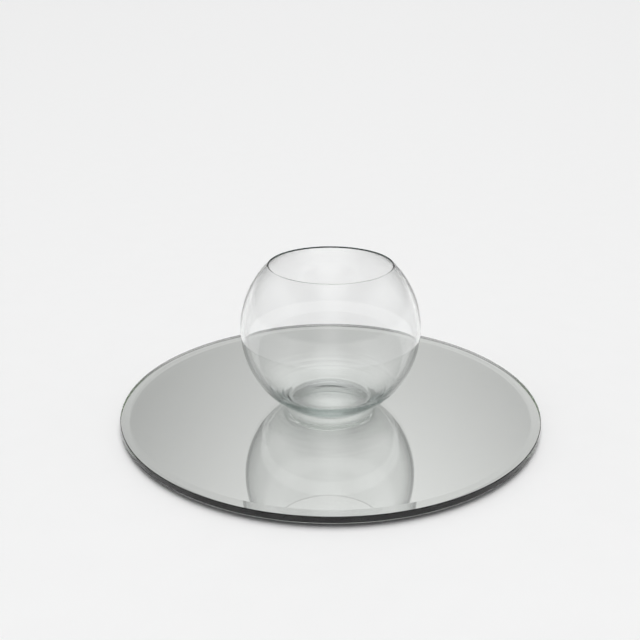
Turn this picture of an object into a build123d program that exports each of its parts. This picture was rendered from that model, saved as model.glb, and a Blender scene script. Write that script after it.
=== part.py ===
"""Round bevelled mirror candle plate with a clear glass bubble bowl standing on it.

The plate is a disc of float glass, bevelled round its top edge, silvered and
painted on its back, on four stick-on bumper feet. The bowl is blown glass with a
thick base and a fire-polished rim, and stands loose in the middle of the plate.
Sizes are millimetres. The origin is on the table under the plate's centre, +Z up.
"""

import os
from math import asin, atan, cos, sqrt, tan

from build123d import *

# Mirror plate
plate_diameter = 300.0
glass_thickness = 5.0
bevel_width = 6.5
bevel_depth = 0.4
edge_arris = 0.4
silver_thickness = 0.1
paint_thickness = 0.2

# Bumper feet
foot_count = 4
foot_circle_diameter = 216.0
foot_start_angle = 45.0
foot_diameter = 14.0
foot_height = 3.0
foot_draft_angle = 12.0
foot_edge_radius = 0.6
tape_thickness = 0.2
tape_margin = 0.5

# Bubble bowl
bowl_diameter = 127.0
bowl_height = 104.0
belly_height = 57.0
mouth_diameter = 87.0
base_diameter = 60.0
wall_thickness = 2.0
rim_thickness = 1.2
rim_round_share = 0.45
base_thickness = 5.5
outer_heel_radius = 7.0
inner_heel_radius = 36.0
punt_diameter = 48.0
punt_depth = 1.5

# Levels and radii that follow from the sizes above
paint_level = foot_height + tape_thickness
silver_level = paint_level + paint_thickness
glass_level = silver_level + silver_thickness
plate_top = glass_level + glass_thickness

plate_radius = plate_diameter / 2
coated_radius = plate_radius - edge_arris
bevel_radius = plate_radius - bevel_width
edge_height = glass_thickness - bevel_depth

belly_radius = bowl_diameter / 2
cavity_radius = belly_radius - wall_thickness
mouth_radius = mouth_diameter / 2
rim_radius = rim_round_share * rim_thickness
base_radius = base_diameter / 2
punt_radius = punt_diameter / 2
neck_rise = bowl_height - belly_height
floor_drop = belly_height - base_thickness


def ellipse_half_height(start_radius, rise, end_radius):
    """Half height of the ellipse that stands upright at start_radius on the belly's
    level and has drawn in to end_radius at a level this far above or below it."""
    return rise / sqrt(1 - (end_radius / start_radius) ** 2)


outer_lower_half_height = ellipse_half_height(belly_radius, belly_height, base_radius)
outer_upper_half_height = ellipse_half_height(belly_radius, neck_rise, mouth_radius)

# The wall leans in at the mouth, so a level cut across its rim is wider than the wall is thick
neck_sweep = asin(neck_rise / outer_upper_half_height)
neck_lean = atan(belly_radius / outer_upper_half_height * tan(neck_sweep))
inner_mouth_radius = mouth_radius - rim_thickness / cos(neck_lean)

# The wall keeps its thickness below the belly and thins from there to the rim
inner_lower_half_height = outer_lower_half_height - wall_thickness
inner_upper_half_height = ellipse_half_height(cavity_radius, neck_rise, inner_mouth_radius)


def save_piece(piece, name):
    """Label a finished piece with its name and write it to its own file."""
    piece.label = name
    export_step(piece, f"parts/{name}.step")


os.makedirs("parts", exist_ok=True)

# Glass disc: the bevel slopes down to a seamed vertical edge
with BuildPart() as mirror_glass:
    with BuildSketch(Plane.XZ.shift_origin((0, 0, glass_level))):
        with BuildLine():
            Polyline(
                (0, 0),
                (coated_radius, 0),
                (plate_radius, edge_arris),
                (plate_radius, edge_height - edge_arris),
                (plate_radius - edge_arris, edge_height),
                (bevel_radius, glass_thickness),
                (0, glass_thickness),
                close=True,
            )
        make_face()
    revolve(axis=Axis.Z)
save_piece(mirror_glass.part, "mirror_glass")

# Silver coat on the flat back of the glass
with BuildPart() as silver_layer:
    with BuildSketch(Plane.XY.offset(silver_level)):
        Circle(coated_radius)
    extrude(amount=silver_thickness)
save_piece(silver_layer.part, "silver_layer")

# Paint that covers and protects the silver
with BuildPart() as back_paint:
    with BuildSketch(Plane.XY.offset(paint_level)):
        Circle(coated_radius)
    extrude(amount=paint_thickness)
save_piece(back_paint.part, "back_paint")

# Bumper feet, each on its own disc of tape
foot_places = PolarLocations(foot_circle_diameter / 2, foot_count, start_angle=foot_start_angle)
for number, place in enumerate(foot_places, start=1):
    foot_top = place.position + Vector(0, 0, foot_height)

    with BuildPart() as foot:
        with BuildSketch(Plane(origin=foot_top, z_dir=(0, 0, -1))):
            Circle(foot_diameter / 2)
        extrude(amount=foot_height, taper=foot_draft_angle)
        fillet(foot.faces().sort_by(Axis.Z)[0].edges(), foot_edge_radius)
    save_piece(foot.part, f"foot_{number}")

    with BuildPart() as tape:
        with BuildSketch(Plane(origin=foot_top)):
            Circle(foot_diameter / 2 - tape_margin)
        extrude(amount=tape_thickness)
    save_piece(tape.part, f"foot_tape_{number}")


def belly_arc(radius, half_height, rise):
    """Elliptical arc of the bowl's section, upright at the belly and ending this far above it.

    It is drawn as a weighted three-point curve whose middle point is where the two
    end tangents cross, which is the exact ellipse.
    """
    sweep = asin(rise / half_height)
    start = (radius, belly_height)
    tangent_corner = (radius, belly_height + half_height * tan(sweep / 2))
    end = (radius * cos(sweep), belly_height + rise)
    return Bezier(start, tangent_corner, end, weights=[1, cos(sweep / 2), 1])


# Bubble bowl: one closed wall section turned about the upright axis.
# Outside and inside are pairs of elliptical arcs that meet upright at the belly.
with BuildPart() as bubble_bowl:
    with BuildSketch(Plane.XZ.shift_origin((0, 0, plate_top))) as wall_section:
        with BuildLine():
            outer_lower = belly_arc(belly_radius, outer_lower_half_height, -belly_height)
            outer_upper = belly_arc(belly_radius, outer_upper_half_height, neck_rise)
            inner_lower = belly_arc(cavity_radius, inner_lower_half_height, -floor_drop)
            inner_upper = belly_arc(cavity_radius, inner_upper_half_height, neck_rise)
            Line(outer_upper @ 1, inner_upper @ 1)
            Line(inner_lower @ 1, (0, base_thickness))
            Line((0, base_thickness), (0, punt_depth))
            TangentArc((0, punt_depth), (punt_radius, 0), tangent=(1, 0))
            Line((punt_radius, 0), outer_lower @ 1)
        make_face()
        rim_corners = wall_section.vertices().group_by(Axis.Y)[-1]
        fillet(rim_corners, rim_radius)
        outer_heel = wall_section.vertices().sort_by_distance(outer_lower @ 1)[0]
        fillet(outer_heel, outer_heel_radius)
        inner_heel = wall_section.vertices().sort_by_distance(inner_lower @ 1)[0]
        fillet(inner_heel, inner_heel_radius)
    revolve(axis=Axis.Z)
save_piece(bubble_bowl.part, "bubble_bowl")
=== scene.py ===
"""Looks of the mirror candle plate and its glass bubble bowl, in metres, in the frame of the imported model."""

import math

import bpy
import numpy as np
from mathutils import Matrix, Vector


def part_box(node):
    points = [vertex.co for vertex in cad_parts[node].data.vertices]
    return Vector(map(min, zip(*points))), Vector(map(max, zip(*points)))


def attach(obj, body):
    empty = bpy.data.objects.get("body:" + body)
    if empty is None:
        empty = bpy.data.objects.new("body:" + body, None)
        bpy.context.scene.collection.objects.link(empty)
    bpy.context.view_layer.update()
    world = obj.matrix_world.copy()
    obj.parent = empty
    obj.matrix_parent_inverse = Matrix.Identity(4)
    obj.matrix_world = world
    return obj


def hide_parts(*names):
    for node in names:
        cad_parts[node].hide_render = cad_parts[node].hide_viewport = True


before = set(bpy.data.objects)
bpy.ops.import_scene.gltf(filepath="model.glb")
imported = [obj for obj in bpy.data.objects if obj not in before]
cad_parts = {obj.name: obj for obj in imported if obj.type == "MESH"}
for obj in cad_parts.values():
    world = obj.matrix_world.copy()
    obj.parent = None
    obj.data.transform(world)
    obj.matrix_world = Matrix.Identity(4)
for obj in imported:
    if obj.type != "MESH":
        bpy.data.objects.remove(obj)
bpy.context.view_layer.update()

MM = 0.001


def box_sizes(node):
    """Middle of a node's box across and along, and its half width, bottom and top."""
    low, high = np.asarray(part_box(node), float)
    middle = (low + high) / 2
    return middle[:2], float(high[0] - middle[0]), float(low[2]), float(high[2])


# Mirror plate: its boxes give the levels and the outside, and these give the rest
_, plate_radius, glass_bottom, plate_top = box_sizes("mirror_glass")
_, coated_radius, silver_bottom, _ = box_sizes("silver_layer")
_, _, paint_bottom, paint_top = box_sizes("back_paint")
bevel_width = 6.5 * MM
bevel_depth = 0.4 * MM
edge_arris = plate_radius - coated_radius
coat_bond = 0.02 * MM

# Bumper feet
foot_draft = math.radians(12)
foot_edge_radius = 0.6 * MM

# Bubble bowl
_, belly_radius, bowl_bottom, bowl_top = box_sizes("bubble_bowl")
bowl_height = bowl_top - bowl_bottom
belly_height = 57.0 * MM
mouth_radius = 43.5 * MM
base_radius = 30.0 * MM
wall_thickness = 2.0 * MM
rim_thickness = 1.2 * MM
base_thickness = 5.5 * MM
outer_heel_radius = 7.0 * MM
inner_heel_radius = 36.0 * MM
punt_radius = 24.0 * MM
punt_depth = 1.5 * MM
air_gap = 0.05 * MM
streak_height = 0.35 * MM
streak_span = (plate_top + 8 * MM, plate_top + 24 * MM)
streak_packing = 30.0

# Surface finish: the glass's refractive index, the noise's scales and detail, and the smears' roughness
glass_index = 1.52
wave_detail = 2
streak_scale = 12
smear_scale = 30
smear_detail = 6
smear_roughness = 0.02
grain_detail = 8

# Camera, fitted to the plate's and the bowl's outlines
image_pixels = 640
focal_pixels = 885.0
sensor_width = 36.0
camera_place = (-7.39 * MM, -582.2 * MM, plate_top + 286.2 * MM)
camera_pitch = math.radians(21.0)

# Studio light by direction: a pale wall that is brightest behind the plate and darker toward its top,
# and a soft dome overhead that fades out to the sides. Places are parts of the unit direction.
wall_centre = 0.045
wall_reach = 0.42
wall_edge_share = 0.5
side_start = 0.55
side_full = 0.9
side_share = 0.95
horizon_light = 0.45
rise_light = 1.24
rise_top = 0.55
crown_start = 0.58
crown_full = 0.8
crown_share = 0.5
dome_start = 0.66
dome_full = 0.95
dome_light = 3.3
dome_look = 1.0
strip_start = 0.12
strip_reach = 0.45
backdrop_look = 0.88
dome_lean = math.radians(8)
front_share = 0.95
front_full = -0.7
front_start = 0.4

# Half width of the floor
floor_half = 40.0

# Light paths: enough reflections for the bowl's thick heel, and too few to cross the plate from edge to edge
light_bounces = 32
mirror_bounces = 16

# Mesh fineness
plate_turns = 256
foot_turns = 96
arc_steps = 24
ellipse_steps = 64
heel_steps = 4000
plain_crease = math.radians(30)
bevel_crease = math.radians(3)


# Half sections: rows of (radius, height), in metres

def circle_arc(centre, radius, start, end):
    """Circle about centre from one angle to another, measured from the outward direction.

    Each point is the centre plus the radius times (cosine, sine) of its angle.
    """
    angle = np.linspace(start, end, arc_steps)
    return np.column_stack([centre[0] + radius * np.cos(angle), centre[1] + radius * np.sin(angle)])


def belly_arc(radius, half_height, start, end):
    """Ellipse about the belly's centre, from one angle to another.

    Across it is radius times the cosine, and up it is half_height times the sine.
    """
    angle = np.linspace(start, end, ellipse_steps)
    return np.column_stack([radius * np.cos(angle), belly_height + half_height * np.sin(angle)])


def ellipse_half_height(start_radius, rise, end_radius):
    """Half height of the ellipse that is upright at start_radius and draws in to end_radius over a rise.

    It is the rise over the square root of one less the squared ratio of the radii.
    """
    return rise / math.sqrt(1 - (end_radius / start_radius) ** 2)


def ellipse_normal(radius, half_height, angle):
    """Direction, as an angle from level, of a belly ellipse's normal at one of its angles.

    The normal rises by the sine over half_height for each cosine over radius that it goes out.
    """
    return np.arctan2(np.sin(angle) / half_height, np.cos(angle) / radius)


def heel_round(radius, half_height, level, round_radius):
    """Round of the corner between a belly ellipse and the flat at a level.

    Its centre is one round_radius above the flat and as far inside the ellipse along the ellipse's
    normal. Returns that centre, the ellipse angle where it touches and the normal's angle there.
    """
    angle = np.linspace(-math.pi / 2, 0, heel_steps)
    normal = ellipse_normal(radius, half_height, angle)
    height = belly_height + half_height * np.sin(angle) - round_radius * np.sin(normal)
    touch = float(np.interp(level + round_radius, height, angle))
    touch_normal = float(ellipse_normal(radius, half_height, touch))
    across = radius * math.cos(touch) - round_radius * math.cos(touch_normal)
    return (across, level + round_radius), touch, touch_normal


def bowl_section():
    """Wall section of the bowl, from under its middle up the outside and over the rim to its floor.

    The punt and the heels are circle arcs, each wall is two belly ellipses, and the rim is a half circle.
    """
    punt_bend = (punt_radius ** 2 + punt_depth ** 2) / (2 * punt_depth)
    punt_sweep = math.asin(punt_radius / punt_bend)
    punt = circle_arc((0, punt_depth - punt_bend), punt_bend, math.pi / 2, math.pi / 2 - punt_sweep)

    neck_rise = bowl_height - belly_height
    lower_half = ellipse_half_height(belly_radius, belly_height, base_radius)
    upper_half = ellipse_half_height(belly_radius, neck_rise, mouth_radius)
    heel_centre, heel_touch, heel_normal = heel_round(belly_radius, lower_half, 0, outer_heel_radius)
    outer_heel = circle_arc(heel_centre, outer_heel_radius, -math.pi / 2, heel_normal)

    bead = rim_thickness / 2
    mouth_lean = float(ellipse_normal(belly_radius, upper_half, math.asin(neck_rise / upper_half)))
    rim_angle = math.asin((neck_rise - bead * (1 - math.sin(mouth_lean))) / upper_half)
    outside = np.vstack([
        belly_arc(belly_radius, lower_half, heel_touch, 0),
        belly_arc(belly_radius, upper_half, 0, rim_angle)[1:],
    ])
    rim_normal = float(ellipse_normal(belly_radius, upper_half, rim_angle))
    rim_centre = outside[-1] - bead * np.array([math.cos(rim_normal), math.sin(rim_normal)])
    rim = circle_arc(rim_centre, bead, rim_normal, rim_normal + math.pi)

    cavity_radius = belly_radius - wall_thickness
    cavity_lower_half = lower_half - wall_thickness
    cavity_rise = rim[-1, 1] - belly_height
    cavity_upper_half = ellipse_half_height(cavity_radius, cavity_rise, rim[-1, 0])
    floor_centre, floor_touch, floor_normal = heel_round(
        cavity_radius, cavity_lower_half, base_thickness, inner_heel_radius
    )
    inside = np.vstack([
        belly_arc(cavity_radius, cavity_upper_half, math.asin(cavity_rise / cavity_upper_half), 0),
        belly_arc(cavity_radius, cavity_lower_half, 0, floor_touch)[1:],
    ])
    inner_heel = circle_arc(floor_centre, inner_heel_radius, floor_normal, -math.pi / 2)
    floor_middle = np.array([[0, base_thickness]])
    section = np.vstack([punt, outer_heel, outside[1:], rim[1:], inside[1:], inner_heel[1:], floor_middle])
    return section + np.array([0, bowl_bottom + air_gap])


def plate_section():
    """Half section of the glass disc: flat back, seamed edge, bevel and flat top."""
    edge_top = plate_top - bevel_depth
    return np.array([
        (0, glass_bottom),
        (coated_radius, glass_bottom),
        (plate_radius, glass_bottom + edge_arris),
        (plate_radius, edge_top - edge_arris),
        (plate_radius - edge_arris, edge_top),
        (plate_radius - bevel_width, plate_top),
        (0, plate_top),
    ])


def disc_section(radius, bottom, top):
    """Half section of a flat round disc."""
    return np.array([(0, bottom), (radius, bottom), (radius, top), (0, top)])


def foot_section(radius, bottom, top):
    """Half section of a bumper foot: flat tread, rounded edge and a side that leans out to the flat top.

    The tread's radius is the top's less the height times the tangent of the draft, and the edge's round
    touches both tread and side.
    """
    tread_radius = radius - (top - bottom) * math.tan(foot_draft)
    edge_inset = foot_edge_radius * math.tan(math.pi / 4 - foot_draft / 2)
    edge_centre = (tread_radius - edge_inset, bottom + foot_edge_radius)
    edge = circle_arc(edge_centre, foot_edge_radius, -math.pi / 2, -foot_draft)
    return np.vstack([(0, bottom), edge, (radius, top), (0, top)])


# Meshes

def turned_surface(name, section, centre=(0, 0), turns=plate_turns, crease=plain_crease):
    """Closed surface of revolution about the upright axis through centre.

    Point (row, turn) is centre plus the row's radius times (cosine, sine) of the turn, at the row's
    height. The first and last rows are on the axis and are single vertices.
    """
    turn = np.linspace(0, 2 * math.pi, turns, endpoint=False)
    rings = section[1:-1]
    across = centre[0] + np.outer(rings[:, 0], np.cos(turn))
    along = centre[1] + np.outer(rings[:, 0], np.sin(turn))
    up = np.repeat(rings[:, 1:], turns, axis=1)
    grid = np.stack([across, along, up], axis=-1).reshape(-1, 3)
    poles = np.array([(*centre, section[0, 1]), (*centre, section[-1, 1])])
    points = np.vstack([grid, poles])

    index = np.arange(len(grid)).reshape(len(rings), turns)
    ahead = np.roll(index, -1, axis=1)
    quads = np.stack([index[:-1], ahead[:-1], ahead[1:], index[1:]], axis=-1).reshape(-1, 4)
    first_fan = np.column_stack([ahead[0], index[0], np.full(turns, len(grid))])
    last_fan = np.column_stack([index[-1], ahead[-1], np.full(turns, len(grid) + 1)])

    mesh = bpy.data.meshes.new(name)
    mesh.from_pydata(points.tolist(), [], quads.tolist() + first_fan.tolist() + last_fan.tolist())
    mesh.shade_smooth()
    mesh.set_sharp_from_angle(angle=crease)
    piece = bpy.data.objects.new(name, mesh)
    bpy.context.collection.objects.link(piece)
    return piece


# Materials

def new_material(name):
    """Empty node material with its output and a Principled shader."""
    material = bpy.data.materials.new(name)
    material.use_nodes = True
    nodes = material.node_tree.nodes
    return material, nodes, material.node_tree.links, nodes["Principled BSDF"], nodes["Material Output"]


def object_noise(nodes, links, scale, detail, upright_scale=1.0):
    """Noise in the piece's own coordinates, drawn out or packed together along the upright."""
    place = nodes.new("ShaderNodeTexCoord")
    stretch = nodes.new("ShaderNodeMapping")
    stretch.inputs["Scale"].default_value = (1, 1, upright_scale)
    noise = nodes.new("ShaderNodeTexNoise")
    noise.inputs["Scale"].default_value = scale
    noise.inputs["Detail"].default_value = detail
    links.new(place.outputs["Object"], stretch.inputs["Vector"])
    links.new(stretch.outputs["Vector"], noise.inputs["Vector"])
    return noise.outputs["Fac"]


def maths(nodes, links, operation, first, second=0.0):
    """One arithmetic step on two values, each a number or another node's output."""
    step = nodes.new("ShaderNodeMath")
    step.operation = operation
    for socket, value in zip(step.inputs, (first, second)):
        if isinstance(value, float):
            socket.default_value = value
        else:
            links.new(value, socket)
    return step.outputs["Value"]


def object_height(nodes, links):
    """Height above the table in the piece's own coordinates."""
    place = nodes.new("ShaderNodeTexCoord")
    split = nodes.new("ShaderNodeSeparateXYZ")
    links.new(place.outputs["Object"], split.inputs["Vector"])
    return split.outputs["Z"]


def span(nodes, links, value, low, high, start=0.0, end=1.0, smooth=False):
    """Map a value that goes from start to end onto the range from low to high."""
    mapped = nodes.new("ShaderNodeMapRange")
    mapped.interpolation_type = "SMOOTHSTEP" if smooth else "LINEAR"
    for socket, number in (("From Min", start), ("From Max", end), ("To Min", low), ("To Max", high)):
        mapped.inputs[socket].default_value = number
    links.new(value, mapped.inputs["Value"])
    return mapped.outputs["Result"]


def add_bump(nodes, links, height, shader, distance=1.0):
    """Bump the shader's normal by a height value that stands for this distance."""
    bump = nodes.new("ShaderNodeBump")
    bump.inputs["Distance"].default_value = distance
    links.new(height, bump.inputs["Height"])
    links.new(bump.outputs["Normal"], shader.inputs["Normal"])


def glass_material(name, tint, density, wave_scale, wave_height, streak_relief=0.0):
    """Clear glass whose body tint deepens with the path through it, with faint surface waves and smears.

    Streaks run round the piece near the plate, as on the bottom of a blown bowl.
    """
    material, nodes, links, shader, output = new_material(name)
    shader.inputs["Base Color"].default_value = (1, 1, 1, 1)
    shader.inputs["IOR"].default_value = glass_index
    shader.inputs["Transmission Weight"].default_value = 1.0
    relief = maths(nodes, links, "MULTIPLY", object_noise(nodes, links, wave_scale, wave_detail), wave_height)
    if streak_relief:
        fade = span(nodes, links, object_height(nodes, links), streak_relief, 0.0, *streak_span, smooth=True)
        bands = object_noise(nodes, links, streak_scale, wave_detail, streak_packing)
        relief = maths(nodes, links, "ADD", relief, maths(nodes, links, "MULTIPLY", bands, fade))
    add_bump(nodes, links, relief, shader)
    smears = object_noise(nodes, links, smear_scale, smear_detail)
    links.new(span(nodes, links, smears, 0.0, smear_roughness), shader.inputs["Roughness"])
    body = nodes.new("ShaderNodeVolumeAbsorption")
    body.inputs["Color"].default_value = (*tint, 1)
    body.inputs["Density"].default_value = density
    links.new(body.outputs["Volume"], output.inputs["Volume"])
    return material


def coloured_material(name, dark, pale, scale, rough_low, rough_high, bump_height=0.0, metallic=0.0):
    """Opaque finish whose colour and roughness drift between two values, with a fine surface bump."""
    material, nodes, links, shader, _ = new_material(name)
    grain = object_noise(nodes, links, scale, grain_detail)
    mix = nodes.new("ShaderNodeMix")
    mix.data_type = "RGBA"
    mix.inputs["A"].default_value = (*dark, 1)
    mix.inputs["B"].default_value = (*pale, 1)
    links.new(grain, mix.inputs["Factor"])
    links.new(mix.outputs["Result"], shader.inputs["Base Color"])
    links.new(span(nodes, links, grain, rough_low, rough_high), shader.inputs["Roughness"])
    shader.inputs["Metallic"].default_value = metallic
    if bump_height:
        add_bump(nodes, links, grain, shader, bump_height)
    return material


float_glass = glass_material(
    "float_glass", tint=(0.50, 0.60, 0.45), density=8.0, wave_scale=3, wave_height=0.002 * MM
)
bowl_glass = glass_material(
    "bowl_glass", tint=(0.30, 0.60, 0.50), density=6.0, wave_scale=18, wave_height=0.02 * MM,
    streak_relief=streak_height,
)
silver = coloured_material(
    "silver", dark=(0.90, 0.91, 0.90), pale=(0.94, 0.95, 0.94), scale=6, rough_low=0.0, rough_high=0.01,
    metallic=1.0,
)
back_paint = coloured_material(
    "back_paint", dark=(0.05, 0.055, 0.06), pale=(0.08, 0.085, 0.09), scale=90, rough_low=0.5, rough_high=0.7,
    bump_height=0.02 * MM,
)
rubber = coloured_material(
    "bumper_rubber", dark=(0.012, 0.012, 0.012), pale=(0.03, 0.03, 0.03), scale=700,
    rough_low=0.45, rough_high=0.7, bump_height=0.03 * MM,
)
tape = coloured_material(
    "tape", dark=(0.55, 0.55, 0.52), pale=(0.7, 0.7, 0.67), scale=300, rough_low=0.3, rough_high=0.5,
    bump_height=0.01 * MM,
)
floor_paper = coloured_material(
    "floor_paper", dark=(0.93, 0.93, 0.93), pale=(0.95, 0.95, 0.95), scale=40, rough_low=0.7, rough_high=0.8
)


# Pieces

def fit_piece(piece, material, body, node):
    """Give a piece its material and its body, and hide the CAD node that it stands in for."""
    piece.data.materials.append(material)
    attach(piece, body)
    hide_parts(node)


glass_disc = turned_surface("glass_disc", plate_section(), crease=bevel_crease)
fit_piece(glass_disc, float_glass, "plate", "mirror_glass")
silver_section = disc_section(coated_radius, silver_bottom, glass_bottom + coat_bond)
silver_coat = turned_surface("silver_coat", silver_section)
fit_piece(silver_coat, silver, "plate", "silver_layer")
paint_coat = turned_surface("paint_coat", disc_section(coated_radius, paint_bottom, paint_top))
fit_piece(paint_coat, back_paint, "plate", "back_paint")

feet = [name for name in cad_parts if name.startswith("foot_") and "tape" not in name]
for foot_name in feet:
    number = foot_name.removeprefix("foot_")
    centre, foot_radius, foot_bottom, foot_top = box_sizes(foot_name)
    foot = turned_surface(
        f"bumper_{number}", foot_section(foot_radius, foot_bottom, foot_top), centre=centre, turns=foot_turns
    )
    fit_piece(foot, rubber, "plate", foot_name)
    tape_name = f"foot_tape_{number}"
    centre, tape_radius, tape_bottom, tape_top = box_sizes(tape_name)
    tape_disc = turned_surface(
        f"tape_{number}", disc_section(tape_radius, tape_bottom, tape_top), centre=centre, turns=foot_turns
    )
    fit_piece(tape_disc, tape, "plate", tape_name)

glass_bowl = turned_surface("glass_bowl", bowl_section())
fit_piece(glass_bowl, bowl_glass, "bowl", "bubble_bowl")


# Studio

def pale_floor():
    """Large level sheet under the plate."""
    signs = ((-1, -1), (1, -1), (1, 1), (-1, 1))
    corners = [(across * floor_half, along * floor_half, 0) for across, along in signs]
    mesh = bpy.data.meshes.new("floor")
    mesh.from_pydata(corners, [], [(0, 1, 2, 3)])
    mesh.materials.append(floor_paper)
    floor = bpy.data.objects.new("floor", mesh)
    bpy.context.collection.objects.link(floor)


def soft_light():
    """World light by direction: the wall's light times one less the dome, plus the dome's light.

    The wall's light is its spread across times its rise in height times its depth from front to back.
    The dome is its reach overhead times a strip that fades to the sides. Mirror and glass show the dome
    no brighter than white, and the backdrop is as pale as the floor where it is seen straight or through
    clear glass.
    """
    world = bpy.data.worlds.new("studio")
    bpy.context.scene.world = world
    world.use_nodes = True
    nodes, links = world.node_tree.nodes, world.node_tree.links
    place = nodes.new("ShaderNodeTexCoord")
    split = nodes.new("ShaderNodeSeparateXYZ")
    links.new(place.outputs["Generated"], split.inputs["Vector"])
    across, along, up = (split.outputs[axis] for axis in "XYZ")

    offset = maths(nodes, links, "ABSOLUTE", maths(nodes, links, "SUBTRACT", across, wall_centre))
    middle = span(nodes, links, offset, 1.0, wall_edge_share, 0.0, wall_reach, smooth=True)
    side_gain = side_share - wall_edge_share
    side_lift = span(nodes, links, offset, 0.0, side_gain, side_start, side_full, smooth=True)
    spread = maths(nodes, links, "ADD", middle, side_lift)
    height = maths(nodes, links, "MINIMUM", up, rise_top)
    climb = maths(nodes, links, "MULTIPLY", maths(nodes, links, "MULTIPLY", height, height), rise_light)
    crown = span(nodes, links, up, 1.0, crown_share, crown_start, crown_full, smooth=True)
    rise = maths(nodes, links, "MULTIPLY", maths(nodes, links, "ADD", climb, horizon_light), crown)
    depth = span(nodes, links, along, front_share, 1.0, front_full, front_start, smooth=True)
    wall = maths(nodes, links, "MULTIPLY", maths(nodes, links, "MULTIPLY", spread, rise), depth)

    toward_dome = maths(
        nodes, links, "SUBTRACT",
        maths(nodes, links, "MULTIPLY", up, math.cos(dome_lean)),
        maths(nodes, links, "MULTIPLY", along, math.sin(dome_lean)),
    )
    overhead = span(nodes, links, toward_dome, 0.0, 1.0, dome_start, dome_full, smooth=True)
    strip = span(nodes, links, offset, 1.0, 0.0, strip_start, strip_reach, smooth=True)
    dome = maths(nodes, links, "MULTIPLY", overhead, strip)
    wall_part = maths(nodes, links, "MULTIPLY", wall, maths(nodes, links, "SUBTRACT", 1.0, dome))
    path = nodes.new("ShaderNodeLightPath")
    clear_ray = path.outputs["Is Transmission Ray"]
    shown = maths(nodes, links, "MAXIMUM", path.outputs["Is Glossy Ray"], clear_ray)
    dome_part = maths(nodes, links, "MULTIPLY", dome, span(nodes, links, shown, dome_light, dome_look))
    studio = maths(nodes, links, "ADD", wall_part, dome_part)

    unreflected = maths(nodes, links, "LESS_THAN", path.outputs["Glossy Depth"], 1.0)
    through_glass = maths(nodes, links, "MULTIPLY", clear_ray, unreflected)
    straight = maths(nodes, links, "MAXIMUM", path.outputs["Is Camera Ray"], through_glass)
    elsewhere = maths(nodes, links, "MULTIPLY", studio, maths(nodes, links, "SUBTRACT", 1.0, straight))
    backdrop = maths(nodes, links, "MULTIPLY", straight, backdrop_look)
    light = nodes["Background"]
    light.inputs["Color"].default_value = (1, 1, 1, 1)
    links.new(maths(nodes, links, "ADD", elsewhere, backdrop), light.inputs["Strength"])


def add_camera():
    """Camera at the photograph's viewpoint, level from side to side."""
    data = bpy.data.cameras.new("camera")
    data.sensor_width = sensor_width
    data.lens = focal_pixels / image_pixels * sensor_width
    camera = bpy.data.objects.new("camera", data)
    camera.location = camera_place
    camera.rotation_euler = (math.pi / 2 - camera_pitch, 0, 0)
    bpy.context.collection.objects.link(camera)
    bpy.context.scene.camera = camera


pale_floor()
soft_light()
add_camera()
bpy.context.scene.cycles.max_bounces = light_bounces
bpy.context.scene.cycles.transmission_bounces = light_bounces
bpy.context.scene.cycles.glossy_bounces = mirror_bounces
bpy.context.scene.view_settings.view_transform = "Standard"
